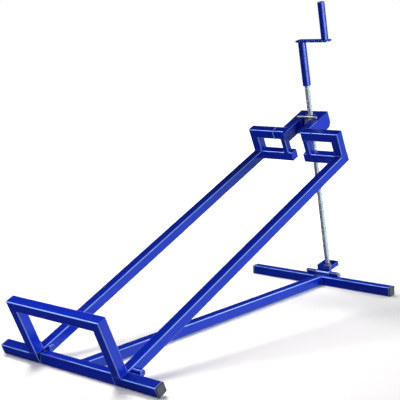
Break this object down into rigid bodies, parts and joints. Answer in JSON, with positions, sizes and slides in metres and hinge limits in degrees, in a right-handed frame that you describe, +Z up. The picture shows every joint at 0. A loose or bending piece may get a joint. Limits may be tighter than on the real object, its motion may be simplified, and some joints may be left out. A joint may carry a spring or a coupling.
{
  "type": "lawn mower lift",
  "caption": "Tilting lift of square steel tube for a ride-on mower: a flat foot frame, a hinged rail frame with a front hoop and wheel stops, and a crank spindle.",
  "frame": {"origin": "middle of the underside of the foot frame's front bar, on the floor", "axes": "+X to the right along the front bar, +Y along the floor beam towards the spindle, +Z up"},
  "size_m": [0.7726, 1.6853, 1.2453],
  "materials": {
    "blue_paint": "glossy powder coat",
    "zinc_plating": "bright zinc plated steel",
    "black_cap": "moulded black plastic"
  },
  "bodies": {
    "foot_frame": {"front_bar": "blue_paint", "beam": "blue_paint", "rear_tube": "blue_paint", "rear_cap_left": "black_cap", "rear_cap_right": "black_cap", "foot_hinge_sleeve_left": "blue_paint", "foot_hinge_sleeve_right": "blue_paint", "pivot_knuckle_left": "blue_paint", "pivot_knuckle_right": "blue_paint", "pivot_bolt": "zinc_plating", "pivot_nut": "zinc_plating"},
    "tilting_frame": {"foot_stub_left": "blue_paint", "foot_stub_right": "blue_paint", "foot_cap_left": "black_cap", "foot_cap_right": "black_cap", "hoop_leg_left": "blue_paint", "hoop_leg_right": "blue_paint", "hoop_top_bar": "blue_paint", "rail_left": "blue_paint", "rail_right": "blue_paint", "frame_hinge_sleeve_left": "blue_paint", "frame_hinge_sleeve_right": "blue_paint", "hinge_pin_left": "zinc_plating", "hinge_pin_right": "zinc_plating", "stop_outer_post_left": "blue_paint", "stop_outer_post_right": "blue_paint", "stop_top_bar_left": "blue_paint", "stop_top_bar_right": "blue_paint", "stop_inner_post_left": "blue_paint", "stop_inner_post_right": "blue_paint", "stop_lower_bar_left": "blue_paint", "stop_lower_bar_right": "blue_paint", "fork_root_left": "blue_paint", "fork_root_right": "blue_paint", "fork_arm_left": "blue_paint", "fork_arm_right": "blue_paint", "fork_flange_left": "blue_paint", "fork_flange_right": "blue_paint", "fork_cheek_left": "blue_paint", "fork_cheek_right": "blue_paint", "fork_bridge": "blue_paint"},
    "spindle_foot": {"foot_tray": "blue_paint", "tray_knuckle": "blue_paint", "thrust_ring": "zinc_plating"},
    "screw": {"lift_screw": "zinc_plating", "foot_lock_nut": "zinc_plating", "crank_socket": "blue_paint", "crank_bar": "blue_paint", "grip_pin": "zinc_plating"},
    "grip": {"crank_grip": "blue_paint"},
    "nut": {"nut_block": "zinc_plating"},
    "lock_pin": {"lock_pin": "zinc_plating"}
  },
  "joints": [
    {"name": "lift_hinge", "type": "hinge", "parent": "foot_frame", "child": "tilting_frame", "pos_m": [0, 0.02788, 0.04788], "axis": [1, 0, 0], "range_deg": [-20.3, 3.7]},
    {"name": "spindle_tilt", "type": "hinge", "parent": "foot_frame", "child": "spindle_foot", "pos_m": [0, 1.48911, 0.04611], "axis": [1, 0, 0], "range_deg": [-16, 3]},
    {"name": "nut_travel", "type": "slide", "parent": "spindle_foot", "child": "nut", "axis": [0, -0.1828, 0.9832], "range_m": [-0.518, 0.095]},
    {"name": "screw_turn", "type": "hinge", "parent": "spindle_foot", "child": "screw", "pos_m": [0, 1.52824, 0.05339], "axis": [0, -0.1828, 0.9832], "continuous": true},
    {"name": "grip_spin", "type": "hinge", "parent": "screw", "child": "grip", "pos_m": [0.117, 1.52824, 0.05339], "axis": [0, -0.1828, 0.9832], "continuous": true},
    {"name": "lock_pin_pull", "type": "slide", "parent": "tilting_frame", "child": "lock_pin", "axis": [0, -0.3955, 0.9184], "range_m": [0, 0.09]}
  ],
  "couplings": [
    {"joint": "spindle_tilt", "follows": "lift_hinge", "ratio": 0.781},
    {"joint": "nut_travel", "follows": "lift_hinge", "m_per_rad": 1.4571}
  ]
}
